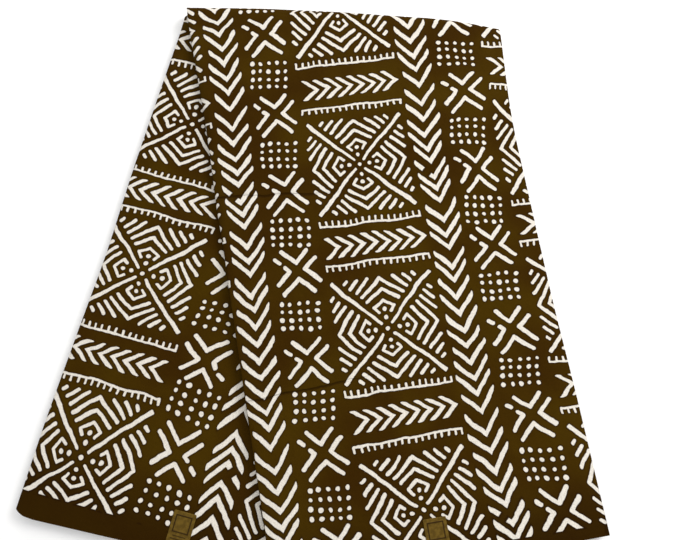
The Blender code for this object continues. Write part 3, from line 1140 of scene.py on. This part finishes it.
class LabelSettings(bpy.types.PropertyGroup):
    """Sizes and colours of the two foil labels."""

    label_width: length_property("Width", "Width of a label", 0.022)
    label_length: length_property("Length", "Length of a label", 0.036)
    label_thickness: length_property("Thickness", "Thickness of a label", 0.0004)
    emboss_depth: length_property("Emboss depth", "Height of the pressed frame and lines", 0.00018)
    curl: length_property("Curl", "How far the upper corners lift", 0.0003)
    foil_dark: colour_property("Foil, dark", "Darker gold of the foil", (0.080, 0.046, 0.0045))
    foil_light: colour_property("Foil, light", "Lighter gold of the foil", (0.130, 0.078, 0.010))
    foil_pressed: colour_property("Foil, pressed", "Brown gold of the pressed lines", (0.026, 0.012, 0.001))


class StageSettings(bpy.types.PropertyGroup):
    """Floor and lights."""

    floor_size: length_property("Floor size", "Side of the square floor", 8.0)
    floor_colour: colour_property("Floor colour", "Colour of the floor", (0.93, 0.93, 0.93))
    air_colour: colour_property("Air colour", "Colour of the light from all round", (1.0, 1.0, 1.0))
    air_strength: strength_property("Air strength", "Strength of the light from all round", 0.55, "NONE")
    key_power: strength_property("Key light", "Power of the main light", 22.0)
    top_power: strength_property("Top light", "Power of the light overhead", 14.0)
    back_power: strength_property("Back light", "Power of the light behind", 8.0)


class FOLDED_OT_labels(bpy.types.Operator):
    """Lay the two plain foil labels on the ends of the cloth"""

    bl_idname = "folded.labels"
    bl_label = "Foil labels"

    def execute(self, context):
        settings = context.scene.folded_labels
        look = gold_foil(settings)
        for label in LABELS:
            make_label(label, settings, look)
        return {"FINISHED"}


class FOLDED_OT_cloth(bpy.types.Operator):
    """Fold the printed cloth and turn it over"""

    bl_idname = "folded.cloth"
    bl_label = "Printed cloth"

    def execute(self, context):
        cloth = make_cloth(context.scene.folded_cloth)
        return {"FINISHED"}


class FOLDED_OT_stage(bpy.types.Operator):
    """Set up the floor, the lights and the camera"""

    bl_idname = "folded.stage"
    bl_label = "Stage"

    def execute(self, context):
        make_floor(context.scene.folded_stage)
        make_lights(context.scene.folded_stage)
        make_camera()
        context.scene.view_settings.view_transform = "Standard"
        return {"FINISHED"}


class FOLDED_PT_panel(bpy.types.Panel):
    """Makes the folded cloth piece by piece"""

    bl_idname = "FOLDED_PT_panel"
    bl_label = "Folded printed cloth"
    bl_space_type = "VIEW_3D"
    bl_region_type = "UI"
    bl_category = "Folded cloth"

    def draw(self, context):
        for operator, group in STEPS:
            settings = getattr(context.scene, group)
            box = self.layout.box()
            for name in settings.__annotations__:
                box.prop(settings, name)
            box.operator(operator.bl_idname)


STEPS = (
    (FOLDED_OT_stage, "folded_stage"),
    (FOLDED_OT_labels, "folded_labels"),
    (FOLDED_OT_cloth, "folded_cloth"),
)
GROUPS = {"folded_cloth": ClothSettings, "folded_labels": LabelSettings, "folded_stage": StageSettings}


def register():
    for name, group in GROUPS.items():
        bpy.utils.register_class(group)
        setattr(bpy.types.Scene, name, bpy.props.PointerProperty(type=group))
    for operator, _ in STEPS:
        bpy.utils.register_class(operator)
    bpy.utils.register_class(FOLDED_PT_panel)


def unregister():
    bpy.utils.unregister_class(FOLDED_PT_panel)
    for operator, _ in reversed(STEPS):
        bpy.utils.unregister_class(operator)
    for name, group in reversed(GROUPS.items()):
        delattr(bpy.types.Scene, name)
        bpy.utils.unregister_class(group)


def main():
    register()
    bpy.ops.folded.stage()
    bpy.ops.folded.labels()
    bpy.ops.folded.cloth()
    bpy.context.view_layer.update()


if __name__ == "__main__":
    main()
